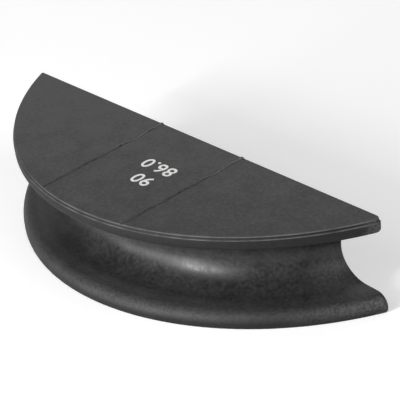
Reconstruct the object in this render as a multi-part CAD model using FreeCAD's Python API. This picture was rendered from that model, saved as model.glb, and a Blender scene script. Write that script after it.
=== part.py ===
import FreeCAD, Part
import math
import os

# Bender former: a grooved segment of a disc, moulded in one piece.
# Millimetres, +Z up. X runs along the flat back, the tube groove faces -Y, and
# the former stands on Z = 0 with the middle of its footprint at X = Y = 0.

# The tube that the groove takes, and the bend it makes
tube_od = 20.0
tube_play = 0.6
bend_radius = 86.0
wrap_angle = 129.8

# Lips above and below the groove
lip_thickness = 5.8
upper_lip_reach = 6.75
lower_lip_extra = 1.25
upper_flank_draft = 8.0
lower_flank_draft = 4.0
upper_lip_round = 1.5
lower_lip_round = 3.9

# Cover side of the mould: a thin slab, set in a little from the rim below it
slab_thickness = 1.04
slab_ledge = 0.35
slab_edge_bevel = 0.3
base_edge_bevel = 0.6

# Flat back, and the two tips where the rims run out into it
back_draft = 3.5
tip_round = 1.1
back_edge_bevel = 0.25

# Blind socket in the flat back for the nose of the ram
ram_nose_d = 18.0
ram_play = 0.3
socket_depth = 24.0
socket_lead = 1.0
socket_floor_bevel = 1.5

# Raised lines that the centre insert of the mould leaves on the top
insert_half_width = 19.7
seam_width = 0.8
seam_crest = 0.3
seam_height = 0.2
seam_front_gap = 1.2
nib_width = 1.3
nib_height = 0.42
nib_length = 2.2

# Sizes that follow from the ones above
groove_r = (tube_od + tube_play) / 2
height = 2 * (groove_r + lip_thickness)
mid = height / 2
upper_r = bend_radius + upper_lip_reach
lower_r = upper_r + lower_lip_extra
slab_r = upper_r - slab_ledge
setback = upper_r * math.cos(math.radians(wrap_angle / 2))
lean = height * math.tan(math.radians(back_draft))
depth = lower_r - setback
axis_y = setback + depth / 2
back_y = depth / 2
up_draft = math.radians(upper_flank_draft)
low_draft = math.radians(lower_flank_draft)
far = 2 * lower_r
V = FreeCAD.Vector
axis = V(0, axis_y, 0)


def behind_back():
    """All the space behind the leaning flat back."""
    slope = math.tan(math.radians(back_draft))
    low_y = back_y - lean - slope * height
    high_y = back_y + slope * height
    corners = [
        V(-far, low_y, -height),
        V(-far, high_y, 2 * height),
        V(-far, far, 2 * height),
        V(-far, far, -height),
    ]
    side = Part.Face(Part.makePolygon(corners + corners[:1]))
    return side.extrude(V(2 * far, 0, 0))


def tip_edges(shape):
    """The upright edges at the two tips, where a rim meets the flat back."""
    found = []
    for edge in shape.Edges:
        upright = edge.BoundBox.ZLength > 0.9 * shape.BoundBox.ZLength
        if upright and abs(edge.CenterOfMass.x) > bend_radius / 2:
            found.append(edge)
    return found


def segment(radius, z0, z1):
    """A slab of the disc in front of the flat back, its two tips rounded."""
    slab = Part.makeCylinder(radius, z1 - z0, V(0, axis_y, z0), V(0, 0, 1))
    slab = slab.cut(behind_back())
    return slab.makeFillet(tip_round, tip_edges(slab))


def turned(edges):
    """A closed section, drawn outwards from the bend axis, swept round that axis."""
    face = Part.Face(Part.Wire(edges))
    face.translate(axis)
    return face.revolve(axis, V(0, 0, 1), 360)


# Lower block, upper block and cover slab, each with its own rim
shelf = height - slab_thickness
body = segment(lower_r, 0, mid)
body = body.fuse(segment(upper_r, mid, shelf))
body = body.fuse(segment(slab_r, shelf, height))

# Groove section: a half round with drafted flanks that roll over onto the two rims
centre = V(bend_radius, 0, mid)
top_touch = centre + V(-groove_r * math.sin(up_draft), 0, groove_r * math.cos(up_draft))
low_touch = centre + V(-groove_r * math.sin(low_draft), 0, -groove_r * math.cos(low_draft))
deepest = centre + V(-groove_r, 0, 0)


def lip(touch, side, rim, radius, draft):
    """The arc that rolls a flank over onto its rim: its start, middle and end."""
    run = rim - radius - touch.x
    flank_z = touch.z + side * run * math.tan(draft)
    heart = V(rim - radius, 0, flank_z + side * radius / math.cos(draft))
    half = (math.pi / 2 - draft) / 2
    start = heart + V(radius * math.sin(draft), 0, -side * radius * math.cos(draft))
    bulge = heart + V(radius * math.sin(draft + half), 0, -side * radius * math.cos(draft + half))
    end = heart + V(radius, 0, 0)
    return start, bulge, end


up_start, up_bulge, up_end = lip(top_touch, 1, upper_r, upper_lip_round, up_draft)
lo_start, lo_bulge, lo_end = lip(low_touch, -1, lower_r, lower_lip_round, low_draft)
groove = turned(
    [
        Part.Arc(top_touch, deepest, low_touch).toShape(),
        Part.makeLine(low_touch, lo_start),
        Part.Arc(lo_start, lo_bulge, lo_end).toShape(),
        Part.makeLine(lo_end, V(far, 0, lo_end.z)),
        Part.makeLine(V(far, 0, lo_end.z), V(far, 0, up_end.z)),
        Part.makeLine(V(far, 0, up_end.z), up_end),
        Part.Arc(up_end, up_bulge, up_start).toShape(),
        Part.makeLine(up_start, top_touch),
    ]
)
body = body.cut(groove)

# Bevels round the base and round the cover slab
base_bevel = turned(
    [
        Part.makeLine(V(lower_r - base_edge_bevel, 0, 0), V(lower_r, 0, base_edge_bevel)),
        Part.makeLine(V(lower_r, 0, base_edge_bevel), V(far, 0, 0)),
        Part.makeLine(V(far, 0, 0), V(lower_r - base_edge_bevel, 0, 0)),
    ]
)
slab_bevel = turned(
    [
        Part.makeLine(V(slab_r - slab_edge_bevel, 0, height), V(slab_r, 0, height - slab_edge_bevel)),
        Part.makeLine(V(slab_r, 0, height - slab_edge_bevel), V(far, 0, height)),
        Part.makeLine(V(far, 0, height), V(slab_r - slab_edge_bevel, 0, height)),
    ]
)
body = body.cut(base_bevel).cut(slab_bevel)


def back_edge_off(y, z, side):
    """The small bevel along one long edge of the flat back."""
    reach = 2 * back_edge_bevel
    outline = [
        V(-far, y - reach, z + side * back_edge_bevel),
        V(-far, y + reach, z + side * back_edge_bevel),
        V(-far, y + reach, z - side * 3 * back_edge_bevel),
    ]
    return Part.Face(Part.makePolygon(outline + outline[:1])).extrude(V(2 * far, 0, 0))


body = body.cut(back_edge_off(back_y, height, 1))
body = body.cut(back_edge_off(back_y - lean, 0, -1))

# Ram socket: blind and level, with a lead-in at its mouth and a bevelled floor
socket_r = (ram_nose_d + ram_play) / 2
mouth_y = back_y - lean / 2
floor_y = mouth_y - socket_depth
out_y = mouth_y + lean
socket = [
    V(0, floor_y, mid),
    V(socket_r - socket_floor_bevel, floor_y, mid),
    V(socket_r, floor_y + socket_floor_bevel, mid),
    V(socket_r, mouth_y - socket_lead, mid),
    V(socket_r + socket_lead + lean, out_y, mid),
    V(0, out_y, mid),
]
socket = Part.Face(Part.makePolygon(socket + socket[:1]))
body = body.cut(socket.revolve(V(0, 0, mid), V(0, 1, 0), 360))


def seam(side):
    """One raised line across the top, with a nib where it runs off the flat back."""
    x = side * insert_half_width
    front_y = axis_y - math.sqrt(slab_r**2 - insert_half_width**2) + seam_front_gap
    root = height - seam_height
    outline = [
        V(x - seam_width, back_y - seam_height, root),
        V(x + seam_width, back_y - seam_height, root),
        V(x + seam_crest / 2, back_y - seam_height, height + seam_height),
        V(x - seam_crest / 2, back_y - seam_height, height + seam_height),
    ]
    ridge = Part.Face(Part.makePolygon(outline + outline[:1]))
    ridge = ridge.extrude(V(0, front_y - back_y + seam_height, 0))
    flag = [
        V(x - nib_width / 2, back_y, height - slab_thickness / 2),
        V(x - nib_width / 2, back_y, height + nib_height),
        V(x - nib_width / 2, back_y - nib_length / 4, height + nib_height),
        V(x - nib_width / 2, back_y - nib_length, height),
        V(x - nib_width / 2, back_y - nib_length, height - slab_thickness / 2),
    ]
    nib = Part.Face(Part.makePolygon(flag + flag[:1]))
    nib = nib.extrude(V(nib_width, 0, 0))
    return ridge.fuse(nib)


body = body.fuse(seam(-1)).fuse(seam(1))
body = body.removeSplitter()
solid = body.Solids[0]
print("solids", len(body.Solids), "valid", solid.isValid(), "volume", round(solid.Volume))
box = solid.BoundBox
print("x", round(box.XMin, 3), round(box.XMax, 3), "y", round(box.YMin, 3), round(box.YMax, 3), "z", round(box.ZMin, 3), round(box.ZMax, 3))

os.makedirs("parts", exist_ok=True)
solid.exportStep("parts/former.step")
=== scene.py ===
import math

import bmesh
import bpy
from mathutils import Matrix, Vector, noise


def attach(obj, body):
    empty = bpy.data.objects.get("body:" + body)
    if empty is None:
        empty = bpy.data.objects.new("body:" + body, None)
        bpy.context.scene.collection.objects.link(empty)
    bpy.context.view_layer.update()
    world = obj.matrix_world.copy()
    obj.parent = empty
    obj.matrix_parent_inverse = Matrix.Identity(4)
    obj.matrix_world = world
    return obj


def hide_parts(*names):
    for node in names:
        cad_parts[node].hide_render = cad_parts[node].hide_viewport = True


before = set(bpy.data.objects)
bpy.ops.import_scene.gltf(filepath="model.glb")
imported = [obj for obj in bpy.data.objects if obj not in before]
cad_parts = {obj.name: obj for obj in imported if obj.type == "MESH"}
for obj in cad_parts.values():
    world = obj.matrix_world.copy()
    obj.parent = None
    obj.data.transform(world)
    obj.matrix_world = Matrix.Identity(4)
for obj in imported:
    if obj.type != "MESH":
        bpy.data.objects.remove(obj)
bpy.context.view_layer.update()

MM = 0.001

# The moulding. One piece of black polyamide, filled with short glass fibre and
# moulded between a cavity half, which leaves the deep lower lip, and a cover half,
# which leaves the thin slab that sits in a little from the rim below it.
GROOVE_R = 10.3 * MM
LIP = 5.8 * MM
HEIGHT = 2 * (GROOVE_R + LIP)
MID = HEIGHT / 2
BEND_R = 86.0 * MM
UPPER_R = 92.75 * MM
LOWER_R = 94.0 * MM
SLAB = 1.04 * MM
SLAB_R = UPPER_R - 0.35 * MM
SLAB_BEVEL = 0.3 * MM
LEDGE_ROUND = 0.25 * MM
BASE_BEVEL = 0.6 * MM
UPPER_FLANK_DRAFT = math.radians(8.0)
LOWER_FLANK_DRAFT = math.radians(4.0)
UPPER_LIP_ROUND = 1.5 * MM
LOWER_LIP_ROUND = 3.9 * MM
SETBACK = 39.344 * MM
BACK_LEAN = math.tan(math.radians(3.5))
BACK_Y = (LOWER_R - SETBACK) / 2
AXIS_Y = BACK_Y + SETBACK
TIP_ROUND = 1.1 * MM
LEFT_TIP_ROUND = 0.4 * MM
RIGHT_TIP_ROUND = 1.35 * MM
KNOCKED_TIP_ROUND = 1.65 * MM
GROOVE_END_ROUND = 0.4 * MM
HALF_WRAP = math.radians(64.9)
SWEEP_STEPS = 168
TIP_STEPS = 6
GROOVE_STEPS = 28
TOP_INSET = 0.3 * MM


def corner_round(bm, corner, radius, segments):
    """Rounds one corner of a flat outline to an arc of the given radius."""
    sides = [(e.other_vert(corner).co - corner.co) for e in corner.link_edges]
    half_angle = sides[0].angle(sides[1]) / 2
    bmesh.ops.bevel(
        bm,
        geom=[corner],
        offset=radius / math.tan(half_angle),
        offset_type="OFFSET",
        segments=segments,
        profile=0.5,
        affect="VERTICES",
        material=-1,
    )


# The outline of the section, drawn as a flat face out from the bend axis
bm = bmesh.new()
top_x = BEND_R - GROOVE_R * math.sin(UPPER_FLANK_DRAFT)
top_z = MID + GROOVE_R * math.cos(UPPER_FLANK_DRAFT)
low_x = BEND_R - GROOVE_R * math.sin(LOWER_FLANK_DRAFT)
low_z = MID - GROOVE_R * math.cos(LOWER_FLANK_DRAFT)
upper_corner_z = top_z + (UPPER_R - top_x) * math.tan(UPPER_FLANK_DRAFT)
lower_corner_z = low_z - (LOWER_R - low_x) * math.tan(LOWER_FLANK_DRAFT)
slab_edge = bm.verts.new((SLAB_R, 0, HEIGHT))
slab_root = bm.verts.new((SLAB_R, 0, HEIGHT - SLAB))
ledge_edge = bm.verts.new((UPPER_R, 0, HEIGHT - SLAB))
upper_corner = bm.verts.new((UPPER_R, 0, upper_corner_z))
groove_top = bm.verts.new((top_x, 0, top_z))
spun = bmesh.ops.spin(
    bm,
    geom=[groove_top],
    cent=(BEND_R, 0, MID),
    axis=(0, 1, 0),
    angle=-(math.pi - UPPER_FLANK_DRAFT - LOWER_FLANK_DRAFT),
    steps=GROOVE_STEPS,
)
groove_low = spun["geom_last"][0]
groove_chain = [groove_top]
while groove_chain[-1] is not groove_low:
    used = groove_chain[-2:-1]
    groove_chain += [
        e.other_vert(groove_chain[-1])
        for e in groove_chain[-1].link_edges
        if e.other_vert(groove_chain[-1]) not in used
    ]
lower_corner = bm.verts.new((LOWER_R, 0, lower_corner_z))
base_edge = bm.verts.new((LOWER_R, 0, 0))
axis_low = bm.verts.new((0, 0, 0))
axis_high = bm.verts.new((0, 0, HEIGHT))
outline = [slab_edge, slab_root, ledge_edge, upper_corner] + groove_chain
section = bm.faces.new(outline + [lower_corner, base_edge, axis_low, axis_high])
corner_round(bm, slab_edge, SLAB_BEVEL, 3)
corner_round(bm, ledge_edge, LEDGE_ROUND, 2)
corner_round(bm, upper_corner, UPPER_LIP_ROUND, 7)
corner_round(bm, lower_corner, LOWER_LIP_ROUND, 14)
corner_round(bm, base_edge, BASE_BEVEL, 3)
bmesh.ops.delete(bm, geom=bm.faces[:], context="FACES_ONLY")
bmesh.ops.delete(bm, geom=[axis_low, axis_high], context="VERTS")

# The same outline swept round the bend axis, then fanned out so that every ring
# ends in a small round on the leaning flat back
columns = SWEEP_STEPS + 2 * TIP_STEPS
to_left_end = Matrix.Rotation(-math.pi / 2 - HALF_WRAP, 3, "Z")
bmesh.ops.rotate(bm, verts=bm.verts, cent=(0, 0, 0), matrix=to_left_end)
bmesh.ops.spin(
    bm,
    geom=bm.verts[:] + bm.edges[:],
    cent=(0, 0, 0),
    axis=(0, 0, 1),
    angle=2 * HALF_WRAP,
    steps=columns,
)
bmesh.ops.remove_doubles(bm, verts=bm.verts, dist=1e-7)


def tip_radius(radius, height, side):
    """How much the end of a ring is rounded: more at the rims than in the groove."""
    out = (radius - (UPPER_R - 5 * MM)) / (4.5 * MM)
    out = min(1.0, max(0.0, out))
    rim = TIP_ROUND
    if height > MID:
        rim = LEFT_TIP_ROUND if side < 0 else RIGHT_TIP_ROUND
    if height > HEIGHT - SLAB - 0.01 * MM and side > 0:
        rim = KNOCKED_TIP_ROUND
    return GROOVE_END_ROUND + (rim - GROOVE_END_ROUND) * out * out * (3 - 2 * out)


for v in bm.verts:
    radius = math.hypot(v.co.x, v.co.y)
    turn = math.atan2(v.co.x, -v.co.y)
    column = round((turn / HALF_WRAP + 1) * columns / 2) - columns // 2
    side = -1 if column < 0 else 1
    inset = 0.0
    if v.co.z > HEIGHT - SLAB_BEVEL:
        inset = (SLAB_R - radius) * 0.5
    if v.co.z < BASE_BEVEL:
        inset = LOWER_R - radius
    to_back = SETBACK + (HEIGHT - v.co.z) * BACK_LEAN + inset
    small = tip_radius(radius, v.co.z, side)
    last = math.acos((to_back + small) / (radius - small))
    along = min(1.0, abs(column) / (SWEEP_STEPS / 2))
    extra = abs(column) - SWEEP_STEPS / 2
    if extra <= 0:
        v.co.x = side * radius * math.sin(last * along)
        v.co.y = AXIS_Y - radius * math.cos(last * along)
    else:
        bend = last + (math.pi - last) * extra / TIP_STEPS
        v.co.x = side * ((radius - small) * math.sin(last) + small * math.sin(bend))
        v.co.y = AXIS_Y - (radius - small) * math.cos(last) - small * math.cos(bend)

# The flat top, the flat base and the narrow bevels along the back
open_edges = [e for e in bm.edges if e.is_boundary]
top_arc = [e for e in open_edges if min(v.co.z for v in e.verts) > HEIGHT - 1e-6]
base_arc = [e for e in open_edges if max(v.co.z for v in e.verts) < 1e-6]
end_edges = [e for e in open_edges if e not in top_arc and e not in base_arc]


def loose_ends(edges):
    """The two vertices where a chain of edges ends, left one first."""
    verts = [v for e in edges for v in e.verts]
    return sorted((v for v in set(verts) if verts.count(v) == 1), key=lambda v: v.co.x)


def capped(edges):
    """Closes a chain of edges with a straight edge and fills it with one flat face."""
    left, right = loose_ends(edges)
    chord = bm.edges.new((left, right))
    return bmesh.ops.contextual_create(bm, geom=edges + [chord])["faces"][0], chord


top_face, top_chord = capped(top_arc)
base_face, base_chord = capped(base_arc)


def back_strip(chord, ends, count):
    """Strips across the back that carry a rounded long edge from one end to the other."""
    left, right = sorted(chord.verts, key=lambda v: v.co.x)
    for _ in range(count):
        next_left = [e.other_vert(left) for e in ends if left in e.verts]
        next_right = [e.other_vert(right) for e in ends if right in e.verts]
        step = [e for e in ends if left in e.verts or right in e.verts]
        ends = [e for e in ends if e not in step]
        new = bm.edges.new((next_left[0], next_right[0]))
        bmesh.ops.contextual_create(bm, geom=step + [chord, new])
        left, right, chord = next_left[0], next_right[0], new
    return chord, ends


top_chord, end_edges = back_strip(top_chord, end_edges, 3)
base_chord, end_edges = back_strip(base_chord, end_edges, 3)

# The flat back, with the blind socket that takes the nose of the ram
SOCKET_R = 9.15 * MM
SOCKET_LEAD = 1.0 * MM
SOCKET_DEPTH = 24.0 * MM
SOCKET_FLOOR_BEVEL = 1.5 * MM
mouth_y = BACK_Y - MID * BACK_LEAN
mouth = bmesh.ops.create_circle(
    bm,
    segments=72,
    radius=SOCKET_R + SOCKET_LEAD,
    matrix=Matrix.Translation((0, mouth_y, MID)) @ Matrix.Rotation(math.radians(90), 4, "X"),
)["verts"]
for v in mouth:
    v.co.y = BACK_Y - (HEIGHT - v.co.z) * BACK_LEAN
mouth_edges = list({e for v in mouth for e in v.link_edges})
back = bmesh.ops.triangle_fill(
    bm,
    use_beauty=True,
    use_dissolve=False,
    edges=end_edges + [top_chord, base_chord] + mouth_edges,
    normal=(0, 1, 0),
)
flat_back = [f for f in back["geom"] if isinstance(f, bmesh.types.BMFace)]
ring = mouth_edges
for radius, y in (
    (SOCKET_R, mouth_y - SOCKET_LEAD),
    (SOCKET_R, mouth_y - SOCKET_DEPTH + SOCKET_FLOOR_BEVEL),
    (SOCKET_R - SOCKET_FLOOR_BEVEL, mouth_y - SOCKET_DEPTH),
):
    pulled = bmesh.ops.extrude_edge_only(bm, edges=ring)["geom"]
    ring = [e for e in pulled if isinstance(e, bmesh.types.BMEdge)]
    for v in {v for e in ring for v in e.verts}:
        out = Vector((v.co.x, 0, v.co.z - MID)).normalized() * radius
        v.co = Vector((out.x, y, MID + out.z))
floor_face = bmesh.ops.contextual_create(bm, geom=ring)["faces"][0]
bmesh.ops.recalc_face_normals(bm, faces=bm.faces)

# Soft shading over the swept faces, true edges round the flat ones
for f in bm.faces:
    f.smooth = True
for f in flat_back + [base_face, floor_face]:
    f.smooth = False
    for e in f.edges:
        e.smooth = False
for e in mouth_edges:
    e.smooth = False
bmesh.ops.inset_individual(bm, faces=[top_face], thickness=TOP_INSET)

moulding_mesh = bpy.data.meshes.new("moulding")
bm.to_mesh(moulding_mesh)
bm.free()
moulding = bpy.data.objects.new("moulding", moulding_mesh)
bpy.context.scene.collection.objects.link(moulding)
print("moulding", len(moulding_mesh.vertices), "vertices", len(moulding_mesh.polygons), "faces")


# Seams and nibs. The centre insert of the mould fits the cover half a hair loosely, so
# molten polyamide creeps up its two sides. It leaves an uneven raised line on the top,
# with a nib of flash where the line runs off the flat back.
SEAM_X = 19.7 * MM
SEAM_HALF_WIDTH = 0.5 * MM
SEAM_HEIGHT = 0.17 * MM
SEAM_FRONT_GAP = 1.2 * MM
SEAM_BACK_GAP = 0.35 * MM
SEAM_CUTS = 110
WAVER_LENGTH = 3.5 * MM
WAVER = 0.9 * MM
FADE_FROM = 14 * MM
FADE_OVER = 16 * MM
NIB_WIDTH = 1.3 * MM
NIB_LENGTH = 2.2 * MM
NIB_HEIGHT = 0.4 * MM
NIB_BEVEL = 0.12 * MM

bm = bmesh.new()
for side in (-1, 1):
    front_y = AXIS_Y - math.sqrt(SLAB_R**2 - SEAM_X**2) + SEAM_FRONT_GAP
    back_end = BACK_Y - SEAM_BACK_GAP
    length = back_end - front_y
    rod = bmesh.new()
    bmesh.ops.create_cone(
        rod,
        cap_ends=True,
        segments=12,
        radius1=1.0,
        radius2=1.0,
        depth=length,
        matrix=Matrix.Rotation(math.radians(90), 4, "X"),
    )
    long_edges = [e for e in rod.edges if abs(e.verts[0].co.y - e.verts[1].co.y) > length / 2]
    bmesh.ops.subdivide_edges(rod, edges=long_edges, cuts=SEAM_CUTS)
    for v in rod.verts:
        from_front = v.co.y + length / 2
        step = from_front / WAVER_LENGTH
        uneven = noise.noise((step, side * 7.0, 0.0)) + noise.noise((step * 2.2, side * 7.0, 9.0))
        slow = noise.noise((step * 0.5, side * 3.0, 5.0))
        quick = noise.noise((step * 1.6, side * 3.0, 8.0))
        wander = (slow + 0.5 * quick) * WAVER
        fade = 0.55 + 0.45 * min(1.0, max(0.0, (from_front - FADE_FROM) / FADE_OVER))
        v.co.x = side * SEAM_X + wander + v.co.x * SEAM_HALF_WIDTH * (1 + 0.3 * uneven)
        v.co.z = HEIGHT + v.co.z * SEAM_HEIGHT * fade * (1 + 0.8 * uneven)
        v.co.y += (front_y + back_end) / 2
    nib = bmesh.new()
    bmesh.ops.create_cube(nib, size=1.0)
    for v in nib.verts:
        tall = NIB_HEIGHT if v.co.y > 0 else 0.02 * MM
        v.co.x = side * SEAM_X + v.co.x * NIB_WIDTH
        v.co.y = BACK_Y - 0.05 * MM + (v.co.y - 0.5) * NIB_LENGTH
        v.co.z = HEIGHT + (tall if v.co.z > 0 else -0.5 * MM)
    bmesh.ops.bevel(
        nib, geom=nib.edges[:], offset=NIB_BEVEL, segments=2, profile=0.5, affect="EDGES", material=-1
    )
    for shape in (rod, nib):
        bmesh.ops.recalc_face_normals(shape, faces=shape.faces)
        shell = bpy.data.meshes.new("shell")
        shape.to_mesh(shell)
        shape.free()
        bm.from_mesh(shell)
        bpy.data.meshes.remove(shell)
for f in bm.faces:
    f.smooth = True
seam_mesh = bpy.data.meshes.new("mould_seams")
bm.to_mesh(seam_mesh)
bm.free()
seams = bpy.data.objects.new("mould_seams", seam_mesh)
bpy.context.scene.collection.objects.link(seams)


# Black polyamide with glass fibre, moulded. The flat top comes off the cover half matt,
# cloudy and dark grey. The rims and the back are near black, painted darker than the skin
# is, which paints shade on the rims. The tubes rub the groove to a soft gloss and scuff it
# and the lower lip pale towards the +X end.
def linear(code):
    """A colour as written on screen, #rrggbb, turned to linear light."""
    parts = [int(code[i : i + 2], 16) / 255 for i in (1, 3, 5)]
    return [p / 12.92 if p <= 0.04045 else ((p + 0.055) / 1.055) ** 2.4 for p in parts] + [1.0]


def add(tree, kind, inputs=(), links=(), **settings):
    """A node with its settings, its input values and the sockets that feed it."""
    node = tree.nodes.new(kind)
    for name, value in settings.items():
        setattr(node, name, value)
    for key, value in dict(inputs).items():
        node.inputs[key].default_value = value
    for key, socket in dict(links).items():
        tree.links.new(socket, node.inputs[key])
    return node


polyamide = bpy.data.materials.new("polyamide_gf_moulded")
polyamide.use_nodes = True
tree = polyamide.node_tree
tree.nodes.clear()
place = add(tree, "ShaderNodeTexCoord").outputs["Object"]
from_axis = add(
    tree, "ShaderNodeVectorMath", {1: (0, -AXIS_Y, 0)}, {0: place}, operation="ADD"
).outputs[0]
part = add(tree, "ShaderNodeSeparateXYZ", links={0: from_axis}).outputs
ahead = add(tree, "ShaderNodeMath", {1: -1.0}, {0: part["Y"]}, operation="MULTIPLY").outputs[0]
turn = add(tree, "ShaderNodeMath", links={0: part["X"], 1: ahead}, operation="ARCTAN2").outputs[0]
flat_part = add(tree, "ShaderNodeCombineXYZ", links={"X": part["X"], "Y": part["Y"]}).outputs[0]
radius = add(tree, "ShaderNodeVectorMath", links={0: flat_part}, operation="LENGTH").outputs["Value"]
swept = add(tree, "ShaderNodeMath", {1: BEND_R}, {0: turn}, operation="MULTIPLY").outputs[0]
swept_place = add(
    tree, "ShaderNodeCombineXYZ", links={"X": swept, "Y": radius, "Z": part["Z"]}
).outputs[0]

# clouding about 8 mm across, mottling of 1.2 mm where fibres lie near the surface, and
# the grain of the skin, drawn at 0.5 mm, coarser than it is, to show in the render
clouds = add(
    tree,
    "ShaderNodeTexNoise",
    {"Scale": 1 / (8 * MM), "Detail": 3.0, "Roughness": 0.6},
    {"Vector": place},
)
mottle = add(
    tree,
    "ShaderNodeTexNoise",
    {"Scale": 1 / (1.2 * MM), "Detail": 3.0, "Roughness": 0.65},
    {"Vector": place},
)
grain = add(
    tree,
    "ShaderNodeTexNoise",
    {"Scale": 1 / (0.5 * MM), "Detail": 2.0, "Roughness": 0.6},
    {"Vector": place},
)

# lines that the tubes leave across the groove, about 0.9 mm apart and 9 mm long
stretch = add(
    tree,
    "ShaderNodeMapping",
    {"Scale": (1 / (0.9 * MM), 1 / (9 * MM), 1 / (9 * MM))},
    {"Vector": swept_place},
)
lines = add(
    tree,
    "ShaderNodeTexNoise",
    {"Scale": 1.0, "Detail": 2.0, "Roughness": 0.6},
    {"Vector": stretch.outputs[0]},
)

# where the tubes have rubbed: all of the groove, and the lower lip less
off_mid = add(tree, "ShaderNodeMath", {1: -MID}, {0: part["Z"]}, operation="ADD").outputs[0]
off_mid = add(tree, "ShaderNodeMath", links={0: off_mid}, operation="ABSOLUTE").outputs[0]
low_enough = add(
    tree,
    "ShaderNodeMapRange",
    {"From Min": 10.4 * MM, "From Max": 11.6 * MM, "To Min": 1.0, "To Max": 0.0},
    {"Value": off_mid},
).outputs[0]
deep_enough = add(
    tree,
    "ShaderNodeMapRange",
    {"From Min": 90.5 * MM, "From Max": 88.5 * MM, "To Min": 0.0, "To Max": 1.0},
    {"Value": radius},
).outputs[0]
in_groove = add(
    tree, "ShaderNodeMath", links={0: low_enough, 1: deep_enough}, operation="MULTIPLY"
).outputs[0]
below = add(
    tree,
    "ShaderNodeMapRange",
    {"From Min": MID, "From Max": MID - 5 * MM, "To Min": 0.0, "To Max": 0.8},
    {"Value": part["Z"]},
)
outside = add(
    tree, "ShaderNodeMapRange", {"From Min": 85.5 * MM, "From Max": 88.5 * MM}, {"Value": radius}
)
crown = add(
    tree,
    "ShaderNodeMapRange",
    {"From Min": 1.6 * MM, "From Max": 4 * MM, "To Min": 0.05, "To Max": 1.0},
    {"Value": part["Z"]},
)
on_lip = add(
    tree, "ShaderNodeMath", links={0: below.outputs[0], 1: outside.outputs[0]}, operation="MULTIPLY"
).outputs[0]
on_lip = add(
    tree, "ShaderNodeMath", links={0: on_lip, 1: crown.outputs[0]}, operation="MULTIPLY"
).outputs[0]
rubbed = add(tree, "ShaderNodeMath", links={0: in_groove, 1: on_lip}, operation="MAXIMUM").outputs[0]

# the skin: near black where only the mould has touched it, painted darker than it is as
# shade on the rims, worn paler by the tubes, and paler still and clouded with glass fibre on
# the flat top, which cooled against the cover. The top also carries a painted sheen: it
# pales slowly towards its -X end and the back.
tone = add(
    tree,
    "ShaderNodeMix",
    {0: 0.6},
    {2: clouds.outputs["Fac"], 3: mottle.outputs["Fac"]},
    data_type="FLOAT",
).outputs[0]
# painted sheen: a slow tilt in tone across the top, paler towards -X and towards the back
tone_and_painted_sheen = add(
    tree, "ShaderNodeVectorMath", {1: (-1.1, 1.9, 0)}, {0: place}, operation="DOT_PRODUCT"
).outputs["Value"]
tone_and_painted_sheen = add(tree, "ShaderNodeMath", links={0: tone, 1: tone_and_painted_sheen}, operation="ADD").outputs[0]
top_skin = add(tree, "ShaderNodeValToRGB", links={"Fac": tone_and_painted_sheen})
top_skin.color_ramp.elements[0].position = 0.37
top_skin.color_ramp.elements[0].color = linear("#363637")
top_skin.color_ramp.elements[1].position = 0.61
top_skin.color_ramp.elements[1].color = linear("#4c4c4d")
worn_skin = add(tree, "ShaderNodeValToRGB", links={"Fac": tone})
worn_skin.color_ramp.elements[0].position = 0.38
worn_skin.color_ramp.elements[0].color = linear("#1e1e1f")
worn_skin.color_ramp.elements[1].position = 0.62
worn_skin.color_ramp.elements[1].color = linear("#333334")
# near-black cavity skin, darker than the real skin, as painted shade on the rims
cavity_black_and_rim_shade = add(tree, "ShaderNodeValToRGB", links={"Fac": tone})
cavity_black_and_rim_shade.color_ramp.elements[0].position = 0.38
cavity_black_and_rim_shade.color_ramp.elements[0].color = linear("#080809")
cavity_black_and_rim_shade.color_ramp.elements[1].position = 0.62
cavity_black_and_rim_shade.color_ramp.elements[1].color = linear("#141415")
on_top = add(
    tree,
    "ShaderNodeMapRange",
    {"From Min": HEIGHT - 0.30 * MM, "From Max": HEIGHT - 0.10 * MM},
    {"Value": part["Z"]},
).outputs[0]
colour = add(
    tree,
    "ShaderNodeMix",
    links={0: rubbed, 6: cavity_black_and_rim_shade.outputs["Color"], 7: worn_skin.outputs["Color"]},
    data_type="RGBA",
).outputs[2]
colour = add(
    tree, "ShaderNodeMix", links={0: on_top, 6: colour, 7: top_skin.outputs["Color"]}, data_type="RGBA"
).outputs[2]

# pale scuffs: thin along the lower lip and thicker in front, where the band also stands as
# a painted highlight along the lip's crest, thickest where the tubes slide off at the +X
# end, a patch across the groove just before it, and the +X tip knocked
scrape = add(
    tree,
    "ShaderNodeTexNoise",
    {"Scale": 1 / (0.7 * MM), "Detail": 4.0, "Roughness": 0.7},
    {"Vector": swept_place},
)
scrape = add(
    tree, "ShaderNodeMapRange", {"From Min": 0.32, "From Max": 0.72}, {"Value": scrape.outputs["Fac"]}
).outputs[0]
at_end = add(
    tree,
    "ShaderNodeMapRange",
    {"From Min": math.radians(42), "From Max": math.radians(62)},
    {"Value": turn},
)
outer = add(
    tree, "ShaderNodeMapRange", {"From Min": 90.5 * MM, "From Max": 93.0 * MM}, {"Value": radius}
).outputs[0]
foot = add(
    tree,
    "ShaderNodeMapRange",
    {"From Min": 0.8 * MM, "From Max": 2.8 * MM, "To Min": 0.1},
    {"Value": part["Z"]},
)
slid_off = add(
    tree, "ShaderNodeMath", links={0: below.outputs[0], 1: foot.outputs[0]}, operation="MULTIPLY"
).outputs[0]
slid_off = add(
    tree, "ShaderNodeMath", links={0: slid_off, 1: at_end.outputs[0]}, operation="MULTIPLY"
).outputs[0]
knocked = add(
    tree,
    "ShaderNodeMapRange",
    {"From Min": math.radians(60), "From Max": math.radians(64), "To Max": 0.9},
    {"Value": turn},
).outputs[0]
slid_off = add(tree, "ShaderNodeMath", links={0: slid_off, 1: knocked}, operation="MAXIMUM").outputs[0]
slid_off = add(tree, "ShaderNodeMath", links={0: slid_off, 1: outer}, operation="MULTIPLY").outputs[0]
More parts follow.
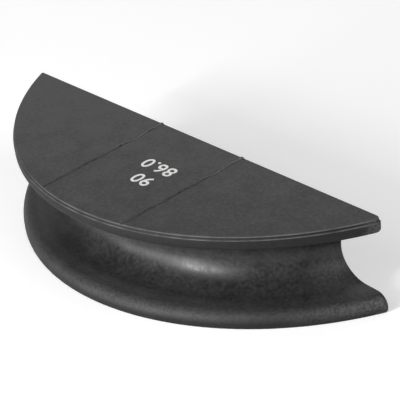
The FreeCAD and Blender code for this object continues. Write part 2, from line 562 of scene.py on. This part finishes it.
# a band along the whole lower lip, strongest near the front of its crest: scuffs, and a painted highlight
# along the crest
from_crest = add(
    tree, "ShaderNodeVectorMath", {1: (14 * MM, 92 * MM, 4 * MM)}, {0: swept_place}, operation="DISTANCE"
).outputs["Value"]
lip_scuff_and_highlight = add(
    tree,
    "ShaderNodeMapRange",
    {"From Min": 8 * MM, "From Max": 42 * MM, "To Min": 0.37, "To Max": 0.18},
    {"Value": from_crest},
).outputs[0]
lip_scuff_and_highlight = add(tree, "ShaderNodeMath", links={0: on_lip, 1: lip_scuff_and_highlight}, operation="MULTIPLY").outputs[0]
from_patch = add(
    tree, "ShaderNodeVectorMath", {1: (82 * MM, 79 * MM, 9 * MM)}, {0: swept_place}, operation="DISTANCE"
).outputs["Value"]
patch = add(
    tree,
    "ShaderNodeMapRange",
    {"From Min": 2 * MM, "From Max": 9 * MM, "To Min": 0.3, "To Max": 0.0},
    {"Value": from_patch},
).outputs[0]
scuff_and_highlight_reach = add(tree, "ShaderNodeMath", links={0: slid_off, 1: lip_scuff_and_highlight}, operation="MAXIMUM").outputs[0]
scuff_and_highlight_reach = add(tree, "ShaderNodeMath", links={0: scuff_and_highlight_reach, 1: patch}, operation="MAXIMUM").outputs[0]
pale_scuff_and_highlight = add(tree, "ShaderNodeMath", links={0: scrape, 1: scuff_and_highlight_reach}, operation="MULTIPLY").outputs[0]
colour = add(
    tree, "ShaderNodeMix", {7: linear("#6c6c6d")}, {0: pale_scuff_and_highlight, 6: colour}, data_type="RGBA"
).outputs[2]


# painted highlights along the edges, partly rub wear: the rim of the cover slab, the ledge
# below it and the back of the seams
def near_edge(edge_radius, edge_z, reach):
    """1 on the round edge at that radius and height, falling to 0 at the given reach."""
    dr = add(tree, "ShaderNodeMath", {1: edge_radius}, {0: radius}, operation="SUBTRACT").outputs[0]
    dz = add(tree, "ShaderNodeMath", {1: edge_z}, {0: part["Z"]}, operation="SUBTRACT").outputs[0]
    gap = add(tree, "ShaderNodeCombineXYZ", links={"X": dr, "Y": dz}).outputs[0]
    gap = add(tree, "ShaderNodeVectorMath", links={0: gap}, operation="LENGTH").outputs["Value"]
    return add(
        tree,
        "ShaderNodeMapRange",
        {"From Min": reach * 0.35, "From Max": reach, "To Min": 1.0, "To Max": 0.0},
        {"Value": gap},
    ).outputs[0]


slab_rim_highlight = near_edge(SLAB_R - 0.1 * MM, HEIGHT - 0.05 * MM, 0.36 * MM)
ledge_highlight = near_edge(UPPER_R - 0.08 * MM, HEIGHT - SLAB - 0.02 * MM, 0.34 * MM)
crest = add(
    tree,
    "ShaderNodeMapRange",
    {"From Min": HEIGHT + 0.04 * MM, "From Max": HEIGHT + 0.16 * MM},
    {"Value": part["Z"]},
).outputs[0]
near_back = add(
    tree, "ShaderNodeMapRange", {"From Min": -66 * MM, "From Max": -46 * MM}, {"Value": part["Y"]}
).outputs[0]
crest = add(tree, "ShaderNodeMath", links={0: crest, 1: near_back}, operation="MULTIPLY").outputs[0]
# the painted highlight on the slab's rim fades out towards the -X end
ahead_of_left = add(
    tree,
    "ShaderNodeMapRange",
    {"From Min": math.radians(-20), "From Max": math.radians(-6), "To Min": 0.1},
    {"Value": turn},
).outputs[0]
slab_rim_highlight = add(
    tree, "ShaderNodeMath", links={0: slab_rim_highlight, 1: ahead_of_left}, operation="MULTIPLY"
).outputs[0]
edges = add(tree, "ShaderNodeMath", links={0: slab_rim_highlight, 1: ledge_highlight}, operation="MAXIMUM").outputs[0]
edges = add(tree, "ShaderNodeMath", links={0: edges, 1: crest}, operation="MAXIMUM").outputs[0]
patchy = add(
    tree,
    "ShaderNodeMapRange",
    {"From Min": 0.38, "From Max": 0.6, "To Min": 0.4, "To Max": 0.85},
    {"Value": clouds.outputs["Fac"]},
).outputs[0]
edges = add(tree, "ShaderNodeMath", links={0: edges, 1: patchy}, operation="MULTIPLY").outputs[0]
# mixes the painted highlight, partly wear, into the colour along the edges
colour = add(
    tree, "ShaderNodeMix", {7: linear("#626263")}, {0: edges, 6: colour}, data_type="RGBA"
).outputs[2]

# painted shade in the corners along both sides of the seams, in patches, taken off their crests near the
# back
aside = add(tree, "ShaderNodeMath", links={0: part["X"]}, operation="ABSOLUTE").outputs[0]
aside = add(tree, "ShaderNodeMath", {1: SEAM_X}, {0: aside}, operation="SUBTRACT").outputs[0]
aside = add(tree, "ShaderNodeMath", links={0: aside}, operation="ABSOLUTE").outputs[0]
beside = add(
    tree,
    "ShaderNodeMapRange",
    {"From Min": 0.35 * MM, "From Max": 0.85 * MM, "To Min": 1.0, "To Max": 0.0},
    {"Value": aside},
).outputs[0]
beside = add(tree, "ShaderNodeMath", links={0: beside, 1: on_top}, operation="MULTIPLY").outputs[0]
shade_patches = add(
    tree,
    "ShaderNodeMapRange",
    {"From Min": 0.44, "From Max": 0.56, "To Max": 0.8},
    {"Value": mottle.outputs["Fac"]},
).outputs[0]
shade_patches = add(tree, "ShaderNodeMath", links={0: shade_patches, 1: beside}, operation="MULTIPLY").outputs[0]
seam_shade = add(
    tree, "ShaderNodeMath", links={0: shade_patches, 1: crest}, operation="SUBTRACT", use_clamp=True
).outputs[0]
# the painted shade beside the seams
colour = add(
    tree, "ShaderNodeMix", {7: linear("#1a1a1a")}, {0: seam_shade, 6: colour}, data_type="RGBA"
).outputs[2]

# gloss and relief: matt on the top, smoother where the cavity half has moulded it, and
# smooth in patches where rubbed, less so on the groove's flanks
matt = add(
    tree,
    "ShaderNodeMapRange",
    {"From Min": 0.36, "From Max": 0.64, "To Min": 0.62, "To Max": 0.72},
    {"Value": tone},
).outputs[0]
streak = add(
    tree,
    "ShaderNodeMix",
    {0: 0.45},
    {2: mottle.outputs["Fac"], 3: lines.outputs["Fac"]},
    data_type="FLOAT",
).outputs[0]
smooth = add(
    tree,
    "ShaderNodeMapRange",
    {"From Min": 0.40, "From Max": 0.64, "To Min": 0.29, "To Max": 0.45},
    {"Value": streak},
).outputs[0]
moulded = add(tree, "ShaderNodeMix", {2: 0.62}, {0: on_top, 3: matt}, data_type="FLOAT").outputs[0]
off_flank = add(
    tree,
    "ShaderNodeMapRange",
    {"From Min": 9.0 * MM, "From Max": 10.4 * MM, "To Min": 1.0, "To Max": 0.4},
    {"Value": off_mid},
).outputs[0]
polished = add(
    tree, "ShaderNodeMath", links={0: in_groove, 1: off_flank}, operation="MULTIPLY"
).outputs[0]
lip_gloss = add(tree, "ShaderNodeMath", {1: 0.2}, {0: on_lip}, operation="MULTIPLY").outputs[0]
polished = add(tree, "ShaderNodeMath", links={0: polished, 1: lip_gloss}, operation="MAXIMUM").outputs[0]
rough = add(
    tree, "ShaderNodeMix", links={0: polished, 2: moulded, 3: smooth}, data_type="FLOAT"
).outputs[0]
rough = add(tree, "ShaderNodeMix", {3: 0.55}, {0: pale_scuff_and_highlight, 2: rough}, data_type="FLOAT").outputs[0]
relief = add(
    tree, "ShaderNodeMix", {0: 0.5}, {2: grain.outputs["Fac"], 3: streak}, data_type="FLOAT"
).outputs[0]
bump = add(
    tree, "ShaderNodeBump", {"Strength": 0.35, "Distance": 0.06 * MM}, {"Height": relief}
).outputs[0]
shader = add(
    tree,
    "ShaderNodeBsdfPrincipled",
    {"IOR": 1.5, "Specular IOR Level": 0.31},
    {"Base Color": colour, "Roughness": rough, "Normal": bump},
)
add(tree, "ShaderNodeOutputMaterial", links={"Surface": shader.outputs[0]})

for piece in (moulding, seams):
    piece.data.materials.append(polyamide)
    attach(piece, "root")
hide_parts("former")


# Size marks. White two-part ink, pad printed on the finished moulding: a film a few
# hundredths of a millimetre thick that sinks into the pits of the matt skin.
MARK_HEIGHT = 5.1 * MM
MARK_WIDEN = 1.12
INK = 0.03 * MM


def printed(words, centre_x, foot_y):
    """One line of numbers, read from behind, as a thin raised film of ink."""
    curve = bpy.data.curves.new("words", "FONT")
    curve.body = words
    curve.size = 1.0
    curve.align_x = "CENTER"
    curve.offset = 0.012
    curve.space_character = 1.06
    curve.extrude = 0.5
    curve.resolution_u = 5
    holder = bpy.data.objects.new("words", curve)
    bpy.context.scene.collection.objects.link(holder)
    bpy.context.view_layer.update()
    mesh = bpy.data.meshes.new_from_object(holder.evaluated_get(bpy.context.evaluated_depsgraph_get()))
    bpy.data.objects.remove(holder)
    tall = max(v.co.y for v in mesh.vertices)
    scale = MARK_HEIGHT / tall
    turn_round = Matrix.Rotation(math.pi, 4, "Z")
    size = Matrix.Diagonal((scale * MARK_WIDEN, scale, INK, 1.0))
    mesh.transform(Matrix.Translation((centre_x, foot_y, HEIGHT + INK / 2)) @ turn_round @ size)
    return mesh


bm = bmesh.new()
bm.from_mesh(printed("90", 3.55 * MM, BACK_Y - 26.1 * MM))
bm.from_mesh(printed("86.0", 2.05 * MM, BACK_Y - 17.8 * MM))
bmesh.ops.remove_doubles(bm, verts=bm.verts, dist=1e-7)
mark_mesh = bpy.data.meshes.new("size_marks")
bm.to_mesh(mark_mesh)
bm.free()
marks = bpy.data.objects.new("size_marks", mark_mesh)
bpy.context.scene.collection.objects.link(marks)

ink = bpy.data.materials.new("ink_white_pad_printed")
ink.use_nodes = True
tree = ink.node_tree
tree.nodes.clear()
place = add(tree, "ShaderNodeTexCoord").outputs["Object"]
pits = add(
    tree,
    "ShaderNodeTexNoise",
    {"Scale": 1 / (0.5 * MM), "Detail": 3.0, "Roughness": 0.7},
    {"Vector": place},
)
film = add(tree, "ShaderNodeValToRGB", links={"Fac": pits.outputs["Fac"]})
film.color_ramp.elements[0].position = 0.30
film.color_ramp.elements[0].color = linear("#9a9a9a")
film.color_ramp.elements[1].position = 0.45
film.color_ramp.elements[1].color = linear("#e8e8e6")
bump = add(
    tree, "ShaderNodeBump", {"Strength": 0.3, "Distance": 0.04 * MM}, {"Height": pits.outputs["Fac"]}
).outputs[0]
shader = add(
    tree,
    "ShaderNodeBsdfPrincipled",
    {"Roughness": 0.55, "IOR": 1.5},
    {"Base Color": film.outputs["Color"], "Normal": bump},
)
add(tree, "ShaderNodeOutputMaterial", links={"Surface": shader.outputs[0]})
marks.data.materials.append(ink)
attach(marks, "root")


# The floor. Plain white paper under the former, turned up all round at its far edge.
# It shows as nearly white to the camera and keeps the soft shadow.
FLOOR_RADIUS = 3.0
FLOOR_RISE = 0.45
bm = bmesh.new()
bmesh.ops.create_circle(bm, cap_ends=True, segments=96, radius=FLOOR_RADIUS)
turned_up = bmesh.ops.extrude_edge_only(bm, edges=bm.edges[:])["geom"]
rim_verts = [v for v in turned_up if isinstance(v, bmesh.types.BMVert)]
bmesh.ops.translate(bm, verts=rim_verts, vec=(0, 0, FLOOR_RISE))
floor_mesh = bpy.data.meshes.new("floor")
bm.to_mesh(floor_mesh)
bm.free()
floor = bpy.data.objects.new("floor", floor_mesh)
bpy.context.scene.collection.objects.link(floor)
paper = bpy.data.materials.new("paper_white_matt")
paper.use_nodes = True
tree = paper.node_tree
tree.nodes.clear()
seen = add(tree, "ShaderNodeLightPath").outputs
direct = add(
    tree,
    "ShaderNodeMath",
    links={0: seen["Is Camera Ray"], 1: seen["Is Glossy Ray"]},
    operation="MAXIMUM",
).outputs[0]
direct = add(
    tree, "ShaderNodeMath", links={0: direct, 1: seen["Is Transmission Ray"]}, operation="MAXIMUM"
).outputs[0]
place = add(tree, "ShaderNodeTexCoord").outputs["Object"]
away = add(tree, "ShaderNodeVectorMath", links={0: place}, operation="LENGTH").outputs["Value"]
paleness = add(
    tree,
    "ShaderNodeMapRange",
    {"From Min": 0.5, "From Max": 2.5, "To Min": 0.36, "To Max": 0.75},
    {"Value": away},
)
lift = add(
    tree, "ShaderNodeMath", links={0: direct, 1: paleness.outputs[0]}, operation="MULTIPLY"
).outputs[0]
glow = add(tree, "ShaderNodeEmission", {"Color": linear("#ffffff")}, {"Strength": lift})
sheet = add(tree, "ShaderNodeBsdfDiffuse", {"Color": linear("#e6e6e6")})
both = add(tree, "ShaderNodeAddShader", links={0: sheet.outputs[0], 1: glow.outputs[0]})
add(tree, "ShaderNodeOutputMaterial", links={"Surface": both.outputs[0]})
floor.data.materials.append(paper)

# Light. A dim tent all round and seven soft boxes. Those in front give the groove its
# highlight, narrow at its core and fading to both sides, the one on the left lights the
# lower lip, and those on the right and behind the flat top.
world = bpy.data.worlds.new("tent")
bpy.context.scene.world = world
world.use_nodes = True
world.node_tree.nodes.clear()
sky = add(world.node_tree, "ShaderNodeBackground", {"Color": linear("#ffffff"), "Strength": 0.08})
add(world.node_tree, "ShaderNodeOutputWorld", links={"Surface": sky.outputs[0]})
LAMP_AIM = Vector((0, 0, MID))


def soft_box(name, azimuth, elevation, distance, width, height, power):
    """A rectangular lamp that faces the former from a direction given in degrees."""
    a, e = math.radians(azimuth), math.radians(elevation)
    away = Vector((math.sin(a) * math.cos(e), -math.cos(a) * math.cos(e), math.sin(e)))
    lamp = bpy.data.lights.new(name, "AREA")
    lamp.shape = "RECTANGLE"
    lamp.size = width
    lamp.size_y = height
    lamp.energy = power
    holder = bpy.data.objects.new(name, lamp)
    holder.visible_camera = False
    holder.location = LAMP_AIM + away * distance
    holder.rotation_mode = "QUATERNION"
    holder.rotation_quaternion = away.to_track_quat("Z", "Y")
    bpy.context.scene.collection.objects.link(holder)


soft_box("soft_box_front", -6, 13, 1.0, 0.20, 0.44, 5.2)
soft_box("soft_box_core", -3.0, 27, 1.0, 0.07, 0.20, 4.3)
soft_box("soft_box_high", -8, 47, 1.0, 0.35, 0.35, 1.5)
soft_box("soft_box_veil", 3, 24, 1.1, 0.60, 0.60, 1.6)
soft_box("soft_box_left", -32, 8, 1.0, 0.50, 0.27, 2.75)
soft_box("soft_box_right", 88, 38, 1.0, 1.00, 0.70, 4.0)
soft_box("soft_box_back", 225, 33, 1.1, 0.90, 0.60, 2.5)

# The camera, at the photograph's angle
CAMERA_UNIT = 0.9275 * MM
azimuth, elevation, roll = (math.radians(d) for d in (53.08, 29.12, -8.71))
back = Vector(
    (math.sin(azimuth) * math.cos(elevation), -math.cos(azimuth) * math.cos(elevation), math.sin(elevation))
)
right = Vector((math.cos(azimuth), math.sin(azimuth), 0))
up = back.cross(right)
rolled_right = math.cos(roll) * right + math.sin(roll) * up
rolled_up = -math.sin(roll) * right + math.cos(roll) * up
camera_data = bpy.data.cameras.new("camera")
camera_data.sensor_width = 36.0
camera_data.lens = 266.92
camera_data.clip_start = 0.05
camera_data.clip_end = 20.0
camera = bpy.data.objects.new("camera", camera_data)
camera.matrix_world = Matrix.Translation(
    (-5.415 * rolled_right + 9.327 * rolled_up + 1044.2 * back) * CAMERA_UNIT + Vector((0, BACK_Y, 0))
) @ Matrix((rolled_right, rolled_up, back)).transposed().to_4x4()
bpy.context.scene.collection.objects.link(camera)
bpy.context.scene.camera = camera
bpy.context.scene.view_settings.view_transform = "Standard"
